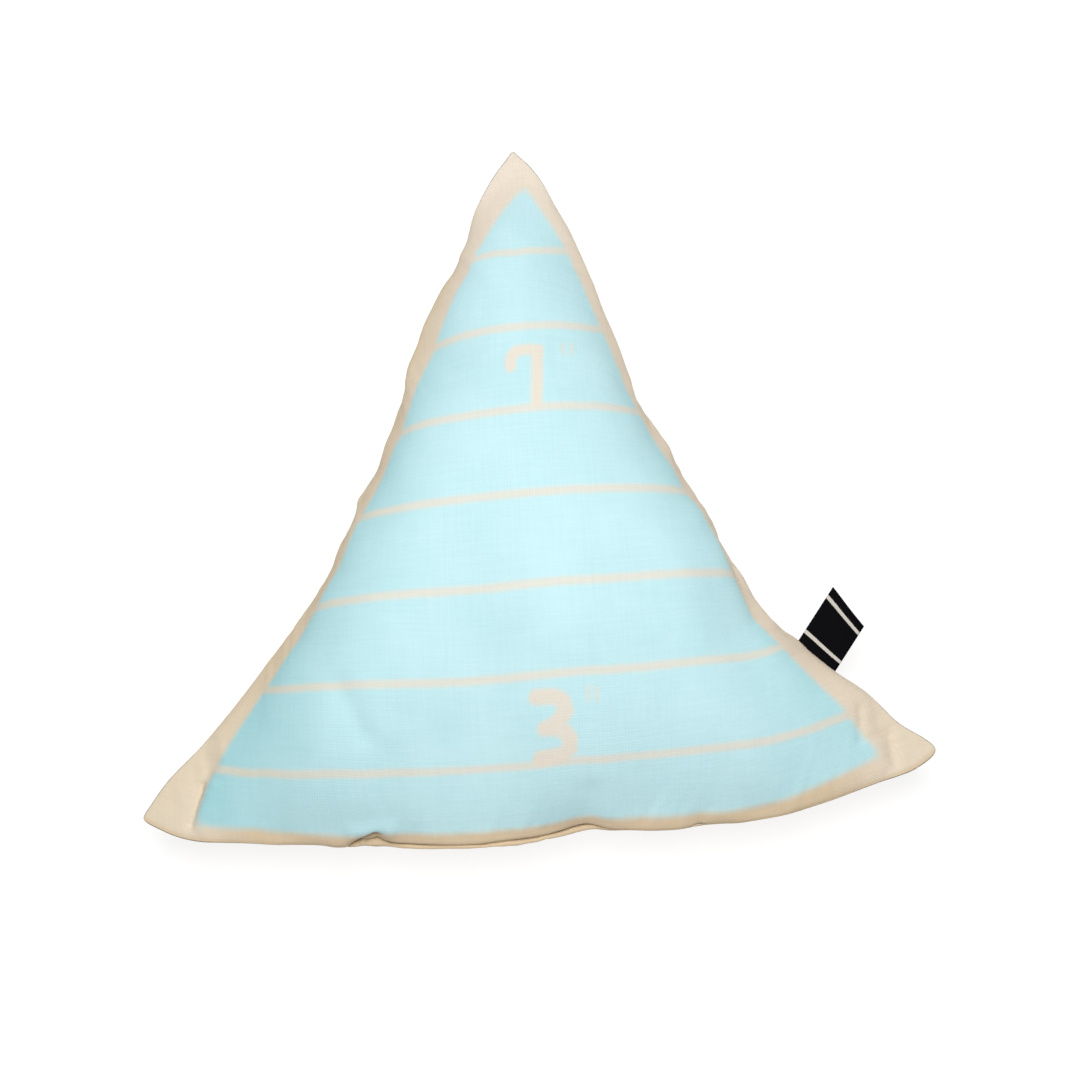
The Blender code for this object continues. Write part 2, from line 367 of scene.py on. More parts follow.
def eased(points, flat, facets, share):
    """The points without their narrow wrinkles, each by its own share.

    A round takes a point towards its neighbours' weighted mean and then a little further back,
    which flattens short waves and leaves long ones as they are. The weights are those whose
    mean of the flat places is the point's own flat place, so that no cloth slides sideways.
    """
    near, far = facets.ravel(), np.roll(facets, -1, axis=1).ravel()
    near, far = np.concatenate([near, far]), np.concatenate([far, near])
    way = flat[far] - flat[near]
    spread, miss = np.zeros((len(points), 2, 2)), np.zeros((len(points), 2, 1))
    np.add.at(spread, near, way[:, :, None] * way[:, None, :])
    np.add.at(miss, near, way[:, :, None])
    weight = 1 - (np.linalg.solve(spread, miss)[near, :, 0] * way).sum(1)
    whole = np.bincount(near, weight)[:, None]
    share = (share / np.bincount(near))[:, None]
    for step in (EASE_SHARE, EASE_BACK) * EASE_ROUNDS:
        total = np.stack([np.bincount(near, weight * points[far, k]) for k in range(3)], 1)
        points = points + step * share * (total - whole * points)
    return points


def laid_evenly(points, flat, side, gap):
    """The points with the cloth's run over the form evened out: inside the seams, X and Y of
    each panel turn into the polynomial of the flat place that comes closest to them."""
    x, y = (flat - flat.mean(0)).T / PANEL_HEIGHT
    powers = [(i, j) for i in range(LAY_DEGREE + 1) for j in range(LAY_DEGREE + 1 - i)]
    terms = np.stack([x ** i * y ** j for i, j in powers], 1)
    share = smooth_step(gap, *LAY_REACH)[:, None]
    for panel in (side > 0, side < 0):
        inside = panel & (gap > LAY_REACH[0])
        fit = np.linalg.lstsq(terms[inside], points[inside, :2], rcond=None)[0]
        points[panel, :2] += share[panel] * (terms[panel] @ fit - points[panel, :2])
    return points


def filled_cloth(rows):
    """The two flat panels after the simulation, eased, and the point of each grid place."""
    shares, side, facets, facet_side, same, _ = sewn_panels(patch_steps(TRIAL_CELLS, 0))
    on_seam = shares.min(1) < NOUGHT
    flat = np.column_stack([flat_place(shares), np.full(len(shares), rows[0][:, 2].max())])
    flat[:, :2] += (-PANEL_SIDE / 2, START_BASE)
    flat[:, 2] += side * START_CROWN * np.sqrt(27 * shares.prod(1))
    target = flat.copy()
    target[on_seam] = seam_place(shares[on_seam], rows)
    trial = cloth_mesh("cover_trial", flat, facets, facet_side, shares)
    points = fill_cover(trial, target, on_seam)
    flat, gap = flat_place(shares), seam_gap(shares)
    points = eased(points, flat, facets, smooth_step(gap, EASE_FROM, EASE_TO))
    return laid_evenly(points, flat, side, gap), same


def finer(points, same, first, steps, rows):
    """The cloth on finer patch grids: a smooth row one way through each grid, then the other
    way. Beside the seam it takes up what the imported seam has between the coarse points."""
    size = round(math.sqrt(len(same) / 6))
    grids = points[same].reshape(6, size, size, 3).swapaxes(0, 1)
    grids = smooth_row(grids, steps).swapaxes(0, 2)
    grids = smooth_row(grids, steps).swapaxes(0, 2).swapaxes(0, 1)
    points = grids.reshape(-1, 3)[first]
    shares = np.tile(panel_shares(steps).reshape(-1, 3), (2, 1))[first]
    for k, row in enumerate(rows):
        gap = shares[:, (k + 2) % 3] * PANEL_HEIGHT
        along = shares[:, (k + 1) % 3] / np.maximum(1 - shares[:, (k + 2) % 3], NOUGHT)
        coarse = smooth_row(row, np.linspace(0, 1, 2 * size - 1))
        missed = smooth_row(row, along) - smooth_row(coarse, along)
        points = points + missed * np.exp(-(gap / ROLL_WIDTH) ** 2)[:, None]
    return points


def outward(points, facets):
    """Each point's direction out of the cover: the mean of the facets around it."""
    first, second, third, fourth = (points[facets[:, k]] for k in range(4))
    lean = np.cross(third - first, fourth - second)
    total = np.stack([np.bincount(facets.ravel(), np.repeat(lean[:, k], 4)) for k in range(3)], 1)
    return total / np.linalg.norm(total, axis=1)[:, None]


def segment_gap(places, start, end):
    """Distance from each place to a straight piece of line."""
    along = np.subtract(end, start)
    share = np.clip((places - start) @ along / (along @ along), 0, 1)
    return np.linalg.norm(places - start - share[:, None] * along, axis=1)


def thin_tips(points, shares, rows):
    """The tips without filling: the height over the plane of a tip's two seams shrinks to its
    share, and grows back to the whole where the filling starts."""
    flat = flat_place(shares)
    for k, tip in enumerate(TIPS):
        height = rows[k][0, 2]
        ahead = (smooth_row(rows[k], np.array([TIP_SLOPE]))[0, 2] - height) / TIP_SLOPE
        behind = (smooth_row(rows[k - 1], np.array([1 - TIP_SLOPE]))[0, 2] - height) / TIP_SLOPE
        plane = height + shares[:, (k + 1) % 3] * ahead + shares[:, k - 1] * behind
        over = (flat - flat_place(np.eye(3)[k])) @ tip.way
        away = (1 - shares[:, k]) * PANEL_HEIGHT
        filled = np.maximum(smooth_step(over, tip.start, tip.whole),
                            smooth_step(away, *TIP_REACH))
        points[:, 2] = plane + (points[:, 2] - plane) * (tip.left + (1 - tip.left) * filled)


def shape_outline(points, shares, rows):
    """The sides moved to the photograph's outline, each move a bell curve along the seam and
    into the cushion, and then the tips.

    A tip's move fades as an exponential of the way from the tip along the seams. Its point is
    drawn in by a shorter exponential of the mean slope of its two seams, which leaves it round.
    """
    for k, moves in enumerate(SEAM_MOVES):
        gap = shares[:, (k + 2) % 3]
        along = shares[:, (k + 1) % 3] / np.maximum(1 - gap, NOUGHT)
        move = sum(depth * np.exp(-((along - x) / width) ** 2) for x, width, depth in moves)
        move *= np.exp(-(gap * PANEL_HEIGHT / MOVE_REACH) ** 2) / 1000
        x, y, _ = (rows[k][-1] - rows[k][0]) / np.linalg.norm(rows[k][-1] - rows[k][0])
        points[:, :2] += move[:, None] * (y, -x)
    for k, tip in enumerate(TIPS):
        ahead, behind = ((row[2] - row[0])[:2] / PANEL_SIDE * (len(row) - 1) / 2
                         for row in (rows[k], rows[k - 1][::-1]))
        slope = (ahead + behind) / 2 - np.array(tip.move) / TIP_STRETCH
        away = (1 - shares[:, k, None]) * PANEL_SIDE
        points[:, :2] += np.array(tip.move) * np.exp(-away / TIP_STRETCH)
        points[:, :2] += slope * tip.radius * np.exp(-away / tip.radius)


def tuck_depth(along):
    """How far the base seam is drawn in at these places along it: a sum of bell curves."""
    return sum(depth * np.exp(-((along - x) / width) ** 2) for x, width, depth in BASE_TUCKS) / 1000


def puckers(shares):
    """The ripples along each point's nearest seam: three waves, times a slow one's swell."""
    nearest = shares.argmin(1)
    run = (shares[np.arange(len(shares)), nearest - 1] + nearest) * PANEL_SIDE
    ripple = sum(np.sin(2 * np.pi * run / pitch + turn) for pitch, turn in PUCKER_WAVES)
    return ripple * (0.5 + 0.5 * np.sin(2 * np.pi * run / PUCKER_SWELL))


def fold_depth(flat):
    """How deep the folds lie, in metres: for each, a bell curve of the distance from its line."""
    return sum(depth / 1000 * np.exp(-(segment_gap(flat, (x0, y0), (x1, y1)) / width) ** 2)
               for x0, y0, x1, y1, width, depth in FRONT_FOLDS)


def finish_surface(points, shares, side, facets):
    """The tucks of the base seam, the rolls and puckers beside the seams, the photograph's
    folds, and the rest on the floor, each as a move of the points."""
    flat = flat_place(shares) * 1000 - (PANEL_SIDE * 500, 0)
    up = flat[:, 1] / 1000
    back = side < 0
    tuck = tuck_depth(flat[:, 0])
    points[:, 1] += tuck * np.exp(-(up / TUCK_REACH) ** 2)
    points[:, 1] -= np.where(back, BACK_ROLL_OUT * tuck * hump(up, BACK_ROLL), 0)

    gap = seam_gap(shares)
    rolled = smooth_step((1 - shares.max(1)) * PANEL_HEIGHT, *ROLL_FADE)
    tucked = np.exp(-(up / SEAM_SLOT) ** 2) * np.minimum(tuck / TUCK_WHOLE, 1)
    move = ROLL_RISE * rolled * hump(gap, ROLL_WIDTH)
    move += TIP_BULK * (1 - rolled) * (1 - np.exp(-gap / ROLL_WIDTH))
    move -= SEAM_SINK * rolled * np.exp(-(gap / SEAM_SLOT) ** 2) + TUCK_SINK * tucked
    move += PUCKER_DEPTH * puckers(shares) * hump(gap, PUCKER_REACH)
    move -= np.where(back, rolled - 1, 1) * fold_depth(flat)
    points += outward(points, facets) * move[:, None]
    points[:, 2] = (points[:, 2] + np.hypot(points[:, 2], FLOOR_ROLL)) / 2


def make_cover(rows):
    """The filled cover as one closed mesh, with what the print and the painted shade measure as
    attributes.
    """
    fine = patch_steps(CELLS, CROWDING)
    shares, side, facets, facet_side, _, first = sewn_panels(fine)
    points = finer(*filled_cloth(rows), first, fine, rows)
    thin_tips(points, shares, rows)
    shape_outline(points, shares, rows)
    finish_surface(points, shares, side, facets)
    mesh = cloth_mesh("cover", points, facets, facet_side, shares)
    for name, values in (("figures", figure_gap(shares)), ("ruled", ruled_place(shares)),
                         ("print", print_gap(shares)), ("aqua_shade", side_shade(shares)),
                         ("base_shade_share", base_shade(shares)), ("cream_shade_share", cream_side_shade(shares))):
        layer = mesh.attributes.new(name, "FLOAT", "POINT")
        layer.data.foreach_set("value", values.astype(np.float32))
    return placed("cover", mesh)


# The figures of the print as strokes of a round brush on the flat cloth: the half-width, then
# each stroke's points in millimetres from the middle of the base seam
FIGURES = [
    (4.0, [[(-0.7, 75.4), (7.4, 75.1), (12.0, 72.4), (13.2, 67.7), (10.0, 62.9), (5.0, 60.1),
            (2.6, 59.6)],
           [(5.4, 59.9), (11.8, 57.8), (14.8, 53.6), (14.6, 48.6), (10.4, 45.6), (-0.4, 45.2)]]),
    (3.2, [[(-4.4, 238.6), (-4.1, 243.6), (-0.9, 246.9), (5.0, 247.4), (11.0, 247.3)],
           [(10.6, 247.3), (10.0, 232.5), (8.7, 219.0)]]),
    (1.6, [[(11.6, 248.8), (12.7, 248.8), (12.5, 244.0)]]),
    (0.6, [[(24.8, 78.2), (24.5, 72.0)], [(29.3, 77.7), (29.0, 71.5)],
           [(25.4, 251.8), (25.1, 245.8)], [(30.5, 252.4), (30.2, 246.4)]]),
]

# The ruled lines, fitted to the photograph: their heights over the base seam in the middle of
# the cloth, after the seam itself, and a bow and a skew as of cloth stretched under a screen
RULED_AT = [0, 0.0420, 0.0860, 0.1291, 0.1728, 0.2155, 0.2608, 0.3070, 0.3530]
BOW = (-0.0074, 0.0110)     # how far a line's ends run high, at the base and near the apex
BOW_TURN = (0.08, 0.29)     # and the heights between which it turns from one to the other
SKEW_AT_BASE = 0.0006       # how far a line runs high at its right end, at the base seam
SKEW_RISE = 0.012           # and how much more so for each metre above it

# The edges of the print on the flat cloth, in metres from the middle of the base seam: the way
# in over an edge and how far in it lies, then where along it, over what half-width and how far
# it bulges inwards. They are fitted to the photograph as the lines are
PRINT_EDGES = [
    ((0, 1), 0.0074, (0.200, 0.055, 0.0050)),              # beside the base seam
    ((-0.866, -0.478), -0.1755, (0.053, 0.055, 0.0090)),   # beside the right seam
    ((0.866, -0.518), -0.1815, (-0.078, 0.075, 0.0090)),   # beside the left seam
    ((0.952, -0.306), -0.1881, (0, 1, 0)),                 # beside the crease of the left tip
    ((-0.857, 0.516), -0.1590, (0, 1, 0)),                 # over the blunt right corner
]
CORNER_ROUND = 0.007        # the print's corners are rounded over about this distance
NARROWEST = 0.004           # half the panel's least width, by its apex, as the print counts it

# How the colours change over the cloth, as in the photograph
SHADE_LEFT, SHADE_RIGHT = 1.05, 0.5   # share of shade painted in at the two sides, deeper aqua and cream, most at the left
SHADE_POWER = 3               # with which it fades towards the middle
SHADE_HIGH = (0.290, 0.370)   # and over these heights towards the apex
BASE_SHADE_UP = (0.004, 0.040)    # over these heights the shade painted into the cream by the base seam fades
SHADE_OUT = (0.155, 0.200)   # and over these distances from its middle
TIP_PALE = 0.4              # share by which the left tip has less painted shade than the side above it


def figure_gap(shares):
    """Distance from each point of the flat cloth to the edge of the nearest figure, in metres,
    and less than nothing inside it."""
    flat = flat_place(shares) * 1000 - (PANEL_SIDE * 500, 0)
    gaps = [segment_gap(flat, start, end) - half_width
            for half_width, strokes in FIGURES
            for stroke in strokes for start, end in zip(stroke, stroke[1:])]
    return np.min(gaps, axis=0) / 1000


def print_gap(shares):
    """Distance in from the nearest edge of the print: the least of the distances from its
    edges, blended by a cubic where two are nearly the same. A bulge is a bell curve."""
    place = flat_place(shares) - (PANEL_SIDE / 2, 0)
    least = np.full(len(place), 1.0)
    for (x, y), edge, (middle, width, depth) in PRINT_EDGES:
        along = (place @ (y, -x) - middle) / width
        gap = place @ (x, y) - edge - depth * np.exp(-along ** 2)
        blend = np.maximum(CORNER_ROUND - np.abs(gap - least), 0) / CORNER_ROUND
        least = np.minimum(gap, least) - blend ** 3 * CORNER_ROUND / 6
    return least


def way_out(shares):
    """The share of the way from the panel's middle line out to its side seams, from -1 to 1."""
    across, up = (flat_place(shares) - (PANEL_SIDE / 2, 0)).T
    return np.clip(across / np.maximum((PANEL_HEIGHT - up) / math.sqrt(3), NARROWEST), -1, 1)


def ruled_place(shares):
    """Each point's place among the ruled lines, which have the numbers 1 to 7: from its height
    over the base seam less a bow and a skew, on the square of its way out to the sides and on
    that way itself."""
    up, out = flat_place(shares)[:, 1], way_out(shares)
    bow = BOW[0] + (BOW[1] - BOW[0]) * smooth_step(up, *BOW_TURN)
    height = up - bow * out ** 2 - (SKEW_AT_BASE + SKEW_RISE * up) * out
    return np.interp(height, RULED_AT, np.arange(len(RULED_AT)))


def side_shade(shares):
    """How much shade is painted into the colour at each point: a power of the way out to the sides,
    less near the apex."""
    out = way_out(shares)
    most = np.where(out < 0, SHADE_LEFT, SHADE_RIGHT)
    low = 1 - smooth_step(flat_place(shares)[:, 1], *SHADE_HIGH)
    return np.abs(out) ** SHADE_POWER * most * low


def base_shade(shares):
    """How much shade is painted in by the base seam at each point, from 0 to 1: most near the seam,
    and not out in the tips.
    """
    across, up = (flat_place(shares) - (PANEL_SIDE / 2, 0)).T
    return (1 - smooth_step(up, *BASE_SHADE_UP)) * (1 - smooth_step(np.abs(across), *SHADE_OUT))


def cream_side_shade(shares):
    """How much shade is painted into the bare cream, from 0 to 1: as much as the ink has, and less
    in the left tip.
    """
    left = PANEL_SIDE / 2 - flat_place(shares)[:, 0]
    return side_shade(shares).clip(0, 1) * (1 - TIP_PALE * smooth_step(left, *SHADE_OUT))


# The folded label in the right-hand seam
LABEL_SHARE = 0.187         # its middle, as a share of the right side from the right tip
LABEL_WIDTH = 0.023         # along the seam
LABEL_LENGTH = 0.031        # out from the seam to the fold
LABEL_SLANT = 0.10          # its apex side is longer and its tip side shorter by this share
LABEL_LEAN = 52             # degrees from +X to the way it points
LABEL_CURL = 0.0030         # rise of the fold above the seam
LABEL_OPEN = 0.0008         # half the gap between the layers at the fold
LABEL_SEWN = 0.0004         # and at the seam
LABEL_CLOTH = 0.0005        # thickness of the tape
LABEL_BOW = 0.0007          # how far the middle of a layer stands over its edges
LABEL_ROOT = 0.0012         # how far its ends reach in past the seam's groove
LABEL_CELLS = (24, 60)      # facets across it and along its whole length
STRIPE_MIDDLE = 0.0165      # midway between the two woven stripes, from the seam
STRIPE_APART = 0.0190       # from one stripe to the other
STRIPE_HALF = 0.0009        # half the width of a stripe
STRIPE_EDGE = 0.0001        # over which the colours meet on each side of its edges
TAPE, STRIPE = "#040306", "#C8C2B8"
RIB = 0.0008                # spacing of the cross ribs, twice the real 0.4 mm so that they show
RIB_RISE = 0.0001


def folded_tape(along, straight, length):
    """The tape's path from one end to the other, how far out of the seam it is, and how high.

    It runs straight out over the upper layer, half a turn round the fold, and back along the
    lower layer. The layers part evenly towards the fold.
    """
    path = (along + 1) / 2 * length
    upper = np.minimum(path, length - path)
    turn = np.clip((path - straight) / LABEL_OPEN, 0, math.pi)
    reach = np.minimum(upper, straight) + LABEL_OPEN * np.sin(turn)
    opening = LABEL_SEWN + (LABEL_OPEN - LABEL_SEWN) * (upper / straight).clip(0, 1)
    return path, reach, np.cos(turn) * opening


def make_label(rows):
    """A strip of woven tape folded in two, with both ends in the seam.

    One parameter runs across it and the other along it. It curls up as the square of the way
    out, and each layer bows up in the middle as a half wave both ways.
    """
    across, along = np.meshgrid(np.linspace(-0.5, 0.5, LABEL_CELLS[0] + 1),
                                np.linspace(-1, 1, LABEL_CELLS[1] + 1), indexing="ij")
    cell = np.arange(across.size).reshape(across.shape)
    across, along = across.ravel(), along.ravel()
    straight = LABEL_LENGTH - LABEL_OPEN
    length = 2 * straight + math.pi * LABEL_OPEN
    path, reach, height = folded_tape(along, straight, length)
    side = np.linalg.norm(rows[1][-1] - rows[1][0])
    root = smooth_row(rows[1], LABEL_SHARE + across * LABEL_WIDTH / side)
    lean = math.radians(LABEL_LEAN)
    out = reach * (1 + 2 * LABEL_SLANT * across) - LABEL_ROOT
    points = root + out[:, None] * (math.cos(lean), math.sin(lean), 0)
    share = reach / LABEL_LENGTH
    bow = LABEL_BOW * np.sin(np.pi * share.clip(0, 1)) * np.cos(np.pi * across)
    points[:, 2] += height + LABEL_CURL * share ** 2 + bow
    facets = grid_facets(cell)
    tape = np.column_stack([across * LABEL_WIDTH, path])[facets]
    label = placed("label_tape", woven_mesh("label_tape", points, facets, "tape", tape))
    thick = label.modifiers.new("tape thickness", "SOLIDIFY")
    thick.thickness = LABEL_CLOTH
    thick.offset = 0
    return label


def wave_scale(period):
    """The Wave Texture's scale that gives bands of this period in metres."""
    return 2 * math.pi / (20 * period)


def tape_material():
    """Black polyester label tape, damask-woven: fine cross ribs with a low satin sheen, and
    two plain pale stripes woven in across each layer."""
    material, tree, shader = new_material("black damask-woven tape")
    uv = add(tree, "UVMap", uv_map="tape")
    along = add(tree, "SeparateXYZ", {0: uv}).outputs[1]
    layer = add(tree, "Math", {0: along, 1: LABEL_LENGTH}, operation="PINGPONG")
    stripe = add(tree, "Math", {0: layer, 1: STRIPE_MIDDLE}, operation="SUBTRACT")
    stripe = add(tree, "Math", {0: add(tree, "Math", {0: stripe}, operation="ABSOLUTE"),
                                1: STRIPE_APART / 2}, operation="SUBTRACT")
    stripe = add(tree, "Math", {0: stripe}, operation="ABSOLUTE")
    stripe = add(tree, "MapRange", {"Value": stripe, "From Min": STRIPE_HALF + STRIPE_EDGE,
                                    "From Max": STRIPE_HALF - STRIPE_EDGE})
    colour = add(tree, "Mix", {0: stripe, 6: linear(TAPE), 7: linear(STRIPE)}, data_type="RGBA")
    tree.links.new(colour.outputs[2], shader.inputs["Base Color"])
    rib = add(tree, "TexWave", {"Vector": uv, "Scale": wave_scale(RIB)},
              wave_type="BANDS", bands_direction="Y")
    bump = add(tree, "Bump", {"Strength": 0.5, "Distance": RIB_RISE, "Height": rib.outputs["Fac"]})
    tree.links.new(bump.outputs[0], shader.inputs["Normal"])
    shader.inputs["Roughness"].default_value = 0.8
    shader.inputs["Specular IOR Level"].default_value = 0.08
    return material


# The print's lines and its edges
LINE_PITCH = 0.0440         # from one ruled line to the next
LINE_HALF = 0.0021          # half the width of a ruled line
LINE_EDGE = 0.0016          # over which the ink fades on each side of a line's edges
PRINT_EDGE = 0.0028         # and of the print's own
LINE_HAZE = 0.27            # share of the ink that crept onto the lines
FIGURE_HAZE = 0.13          # and onto the figures
INK_WANDER = 0.0009         # how far all these edges wander
WANDER_LENGTH = 0.006       # and over what distance

# The cloth
# The bare cream, and a deeper cream painted in as shade towards the sides
CREAM, SHADED_CREAM = "#EADDCC", "#D8C6A8"
BASE_SHADE_CREAM, SEAM_SHADE_CREAM = "#DCC6A6", "#D9C2A0"   # shade painted in by the base seam, and darker right in the seam's gap
SEAM_SHADE_REACH = (0.0028, 0.0002)    # from and to these heights
# The ink, and a deeper aqua both for where it soaked in and for shade painted in at the sides
AQUA, SOAKED_AND_SHADED_AQUA = "#C8ECF1", "#9BCED3"
SOAK = 0.16                 # share of the deep colour where the ink soaked in most
SOAK_LENGTH = 0.045         # size of the patches where it did
THREAD = 0.0014             # thread spacing, twice the real 0.7 mm so that it shows
THREAD_RISE = 0.00012
YARN_RUN = 0.030            # over which a yarn is thick or thin
YARN_SHADE = (0.96, 1.025)  # how much darker and lighter such yarns make the colour


def streaks(tree, uv, width, length):
    """Noise drawn out along one way of the weave, as thick and thin yarn gives."""
    stretched = add(tree, "VectorMath", {0: uv, 1: (1 / width, 1 / length, 1)},
                    operation="MULTIPLY")
    return add(tree, "TexNoise", {"Vector": stretched, "Scale": 1.0, "Detail": 2.0})


def line_gap(tree, ruled):
    """Distance from the edge of the nearest ruled line, and less than nothing inside it: from
    the way to the nearest whole number of a line, times the pitch."""
    line = add(tree, "Math", {0: add(tree, "Math", {0: ruled}, operation="ROUND"), 1: 1.0},
               operation="MAXIMUM")
    line = add(tree, "Math", {0: line, 1: len(RULED_AT) - 2.0}, operation="MINIMUM")
    line = add(tree, "Math", {0: ruled, 1: line}, operation="SUBTRACT")
    return add(tree, "Math", {0: add(tree, "Math", {0: line}, operation="ABSOLUTE"),
                              1: LINE_PITCH, 2: -LINE_HALF}, operation="MULTIPLY_ADD")


def ink_cover(tree, uv, front, ruled, figures, ink):
    """How much of the front panel's cloth the ink covers: the product of its covers beside the
    lines, beside the figures and inside the print, whose edges wander a little and fade."""
    wander = add(tree, "TexNoise", {"Vector": uv, "Scale": 1 / WANDER_LENGTH, "Detail": 2.0})
    wander = add(tree, "Math", {0: wander.outputs["Fac"], 1: INK_WANDER, 2: -INK_WANDER / 2},
                 operation="MULTIPLY_ADD")
    cover = front
    for gap, fade, least in ((line_gap(tree, ruled), LINE_EDGE, LINE_HAZE),
                             (figures, LINE_EDGE, FIGURE_HAZE), (ink, PRINT_EDGE, 0.0)):
        gap = add(tree, "Math", {0: gap, 1: wander})
        gap = add(tree, "MapRange", {"Value": gap, "From Min": -fade, "From Max": fade,
                                     "To Min": least}, interpolation_type="SMOOTHSTEP")
        cover = add(tree, "Math", {0: cover, 1: gap}, operation="MULTIPLY")
    return cover


def bare_colour(tree, up, base_shade_share, cream_shade_share):
    """Unbleached yarn, with shade painted in: deeper at the sides, along the base seam and in the
    seam's gap.
    """
    # Shade painted in towards the sides
    bare = add(tree, "Mix", {0: cream_shade_share, 6: linear(CREAM), 7: linear(SHADED_CREAM)},
               data_type="RGBA").outputs[2]
    # Shade painted in along the base seam and, deeper, in its gap
    seam = add(tree, "MapRange", {"Value": up, "From Min": SEAM_SHADE_REACH[0],
                                  "From Max": SEAM_SHADE_REACH[1]})
    for share, code in ((base_shade_share, BASE_SHADE_CREAM), (seam, SEAM_SHADE_CREAM)):
        bare = add(tree, "Mix", {0: share, 6: bare, 7: linear(code)}, data_type="RGBA").outputs[2]
    return bare


def ink_colour(tree, uv, aqua_shade_share):
    """The ink, with shade painted in deeper towards the sides, and deeper where it soaked in."""
    soak = add(tree, "TexNoise", {"Vector": uv, "Scale": 1 / SOAK_LENGTH, "Detail": 3.0})
    soak = add(tree, "MapRange", {"Value": soak, "From Min": 0.35, "From Max": 0.65,
                                  "To Max": SOAK})
    # The shade painted in at the sides is added to the real soak
    soak = add(tree, "Math", {0: soak, 1: aqua_shade_share})
    return add(tree, "Mix", {0: soak, 6: linear(AQUA), 7: linear(SOAKED_AND_SHADED_AQUA)},
               data_type="RGBA").outputs[2]


def plain_weave(tree, uv, yarn):
    """The relief of the cloth: at each crossing the thread of one way lies over the other, and
    thick yarn stands out more."""
    threads = [add(tree, "TexWave", {"Vector": uv, "Scale": wave_scale(THREAD)},
                   wave_type="BANDS", bands_direction=way).outputs["Fac"] for way in "XY"]
    over = add(tree, "TexChecker", {"Vector": uv, "Scale": 1 / THREAD,
                                    "Color1": (1, 1, 1, 1), "Color2": (0, 0, 0, 1)})
    heights = [add(tree, "Math", {0: add(tree, "Math", {0: along, 1: 0.5, 2: 0.5},
                                         operation="MULTIPLY_ADD"), 1: across},
                   operation="MULTIPLY") for across, along in (threads, threads[::-1])]
    weave = add(tree, "Mix", {0: over.outputs["Fac"], 2: heights[0], 3: heights[1]})
    weave = add(tree, "Math", {0: yarn, 1: 0.6, 2: weave}, operation="MULTIPLY_ADD")
    return add(tree, "Bump", {"Strength": 0.6, "Distance": THREAD_RISE, "Height": weave})


def canvas_material():
    """Cotton canvas, plain-woven from unbleached yarn and screen-printed in pale aqua.

    The eye gets a matt cloth with a fine thread relief, thick and thin yarn in both ways of
    the weave, and an ink that soaked in a little unevenly and has soft edges.
    """
    material, tree, shader = new_material("screen-printed cotton canvas")
    uv = add(tree, "UVMap", uv_map="cloth")
    place = add(tree, "VectorMath", {0: uv, 1: (-FRONT_AT[0] - PANEL_SIDE / 2, -FRONT_AT[1], 0)})
    up = add(tree, "SeparateXYZ", {0: place}).outputs[1]
    front = add(tree, "Math", {0: add(tree, "SeparateXYZ", {0: uv}), 1: PANEL_SPLIT},
                operation="LESS_THAN")
    # Three of these attributes are shares of shade painted into the colour: at the sides of the
    # ink, by the base seam and at the sides of the bare cream
    ink, ruled, figures, aqua_shade_share, base_shade_share, cream_shade_share = (
        add(tree, "Attribute", attribute_name=name, attribute_type="GEOMETRY").outputs["Fac"]
        for name in ("print", "ruled", "figures", "aqua_shade", "base_shade_share", "cream_shade_share"))
    colour = add(tree, "Mix", {0: ink_cover(tree, uv, front, ruled, figures, ink),
                               6: bare_colour(tree, up, base_shade_share, cream_shade_share),
                               7: ink_colour(tree, uv, aqua_shade_share)}, data_type="RGBA").outputs[2]

    # Thick and thin yarn, as light and dark streaks both ways
    warp = streaks(tree, uv, THREAD, YARN_RUN)
    weft = streaks(tree, uv, YARN_RUN, THREAD)
    yarn = add(tree, "Math", {0: warp.outputs["Fac"], 1: weft.outputs["Fac"]})
    shade = add(tree, "MapRange", {"Value": yarn, "From Min": 0.6, "From Max": 1.4,
                                   "To Min": YARN_SHADE[0], "To Max": YARN_SHADE[1]})
    colour = add(tree, "Mix", {0: 1.0, 6: colour, 7: shade.outputs[0]}, data_type="RGBA",
                 blend_type="MULTIPLY")
    tree.links.new(colour.outputs[2], shader.inputs["Base Color"])
    tree.links.new(plain_weave(tree, uv, yarn).outputs[0], shader.inputs["Normal"])
    shader.inputs["Roughness"].default_value = 0.9
    shader.inputs["Specular IOR Level"].default_value = 0.3
    return material


def put(piece, body, slot, *materials):
    """Gives a piece its materials and its body. The slot is not used."""
    for material in materials:
        piece.data.materials.append(material)
    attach(piece, body)


def make_camera():
    """The photograph's camera: steeply from above, turned a little about its own axis."""
    lens = bpy.data.cameras.new("camera")
    lens.lens = CAMERA_LENS
    lens.sensor_width = 36
    camera = placed("camera", lens)
    rise = math.radians(CAMERA_ELEVATION)
    back = Vector((0, -math.cos(rise), math.sin(rise)))
    camera.location = Vector(CAMERA_TARGET) + CAMERA_DISTANCE * back
    turn = Matrix.Rotation(math.radians(-CAMERA_ROLL), 3, back)
    camera.rotation_euler = (turn @ back.to_track_quat("Z", "Y").to_matrix()).to_euler()
    bpy.context.scene.camera = camera


# The soft studio light
SURROUND = (0.90, 0.06)     # strength of the pale surround at the horizon and above SURROUND_TOP
SURROUND_TOP = 0.30         # as the sine of its height
SURROUND_FALL = 4           # power with which it falls off between them
KEY_AT = (0.00, 0.12, 1.9)  # the overhead light
KEY_SIZE, KEY_POWER = 0.9, 38   # its side and its power
FLOOR_REACH = 30.0          # half the floor's side
FLOOR = "#787878"
FLOOR_GLOW = 0.84           # the floor is lit from below, as a light table


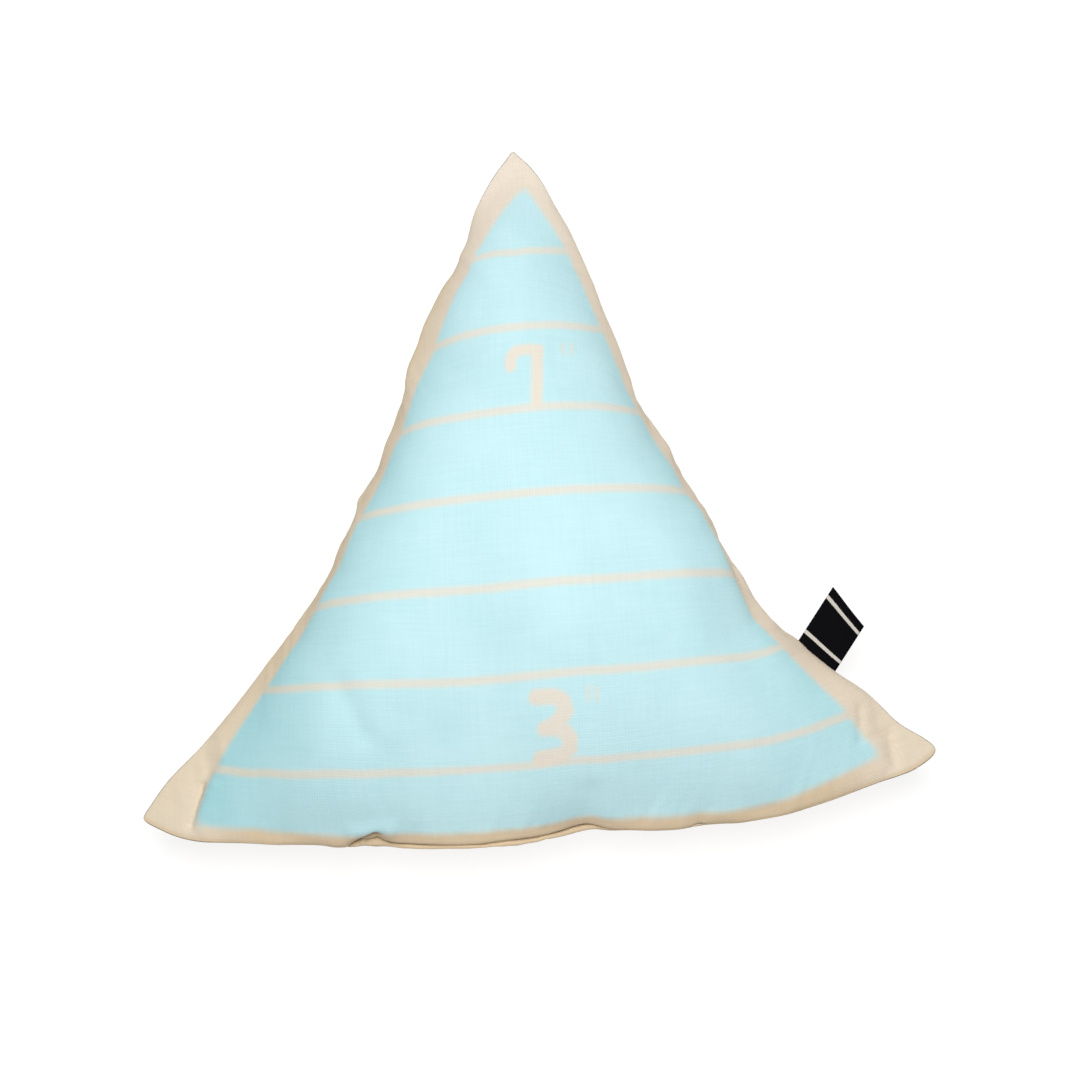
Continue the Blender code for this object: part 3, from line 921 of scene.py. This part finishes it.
def area_light(name, place, size, energy, towards=(0, 0, 0.05)):
    """A square soft light at a place, turned towards a point."""
    light = bpy.data.lights.new(name, "AREA")
    light.size, light.energy = size, energy
    lamp = placed(name, light)
    lamp.location = place
    lamp.rotation_euler = (Vector(place) - Vector(towards)).to_track_quat("Z", "Y").to_euler()


def make_floor():
    """A plain square floor of matt pale acrylic that also glows, so it stays white in light
    shade."""
    mesh = bpy.data.meshes.new("floor")
    corners = [(x * FLOOR_REACH, y * FLOOR_REACH, 0)
               for x, y in ((-1, -1), (1, -1), (1, 1), (-1, 1))]
    mesh.from_pydata(corners, [], [(0, 1, 2, 3)])
    floor = placed("floor", mesh)
    material, _, shader = new_material("matt pale acrylic, lit from below")
    shader.inputs["Base Color"].default_value = linear(FLOOR)
    shader.inputs["Roughness"].default_value = 0.9
    shader.inputs["Emission Color"].default_value = linear("#FFFFFF")
    shader.inputs["Emission Strength"].default_value = FLOOR_GLOW
    mesh.materials.append(material)


def make_surround():
    """A white surround, brightest at the horizon and falling off as a power of the height."""
    world = bpy.data.worlds.new("pale surround")
    world.use_nodes = True
    tree = world.node_tree
    way = add(tree, "SeparateXYZ", {0: add(tree, "TexCoord").outputs["Generated"]})
    low = add(tree, "MapRange", {"Value": way.outputs[2], "From Max": SURROUND_TOP,
                                 "To Min": 1.0, "To Max": 0.0})
    low = add(tree, "Math", {0: low, 1: SURROUND_FALL}, operation="POWER")
    strength = add(tree, "Math", {0: low, 1: SURROUND[0] - SURROUND[1], 2: SURROUND[1]},
                   operation="MULTIPLY_ADD")
    tree.nodes["Background"].inputs["Color"].default_value = linear("#FFFFFF")
    tree.links.new(strength.outputs[0], tree.nodes["Background"].inputs["Strength"])
    bpy.context.scene.world = world


def make_studio():
    """The floor, the surround and one large soft light overhead, in the plain display."""
    make_floor()
    make_surround()
    area_light("overhead", KEY_AT, KEY_SIZE, KEY_POWER)
    bpy.context.scene.view_settings.view_transform = "Standard"


seam_rows = packed_seam()
cover = make_cover(seam_rows)
put(cover, "root", "cover", canvas_material())
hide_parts("cushion")
label = make_label(seam_rows)
put(label, "root", "label", tape_material())
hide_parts("label")
make_camera()
make_studio()
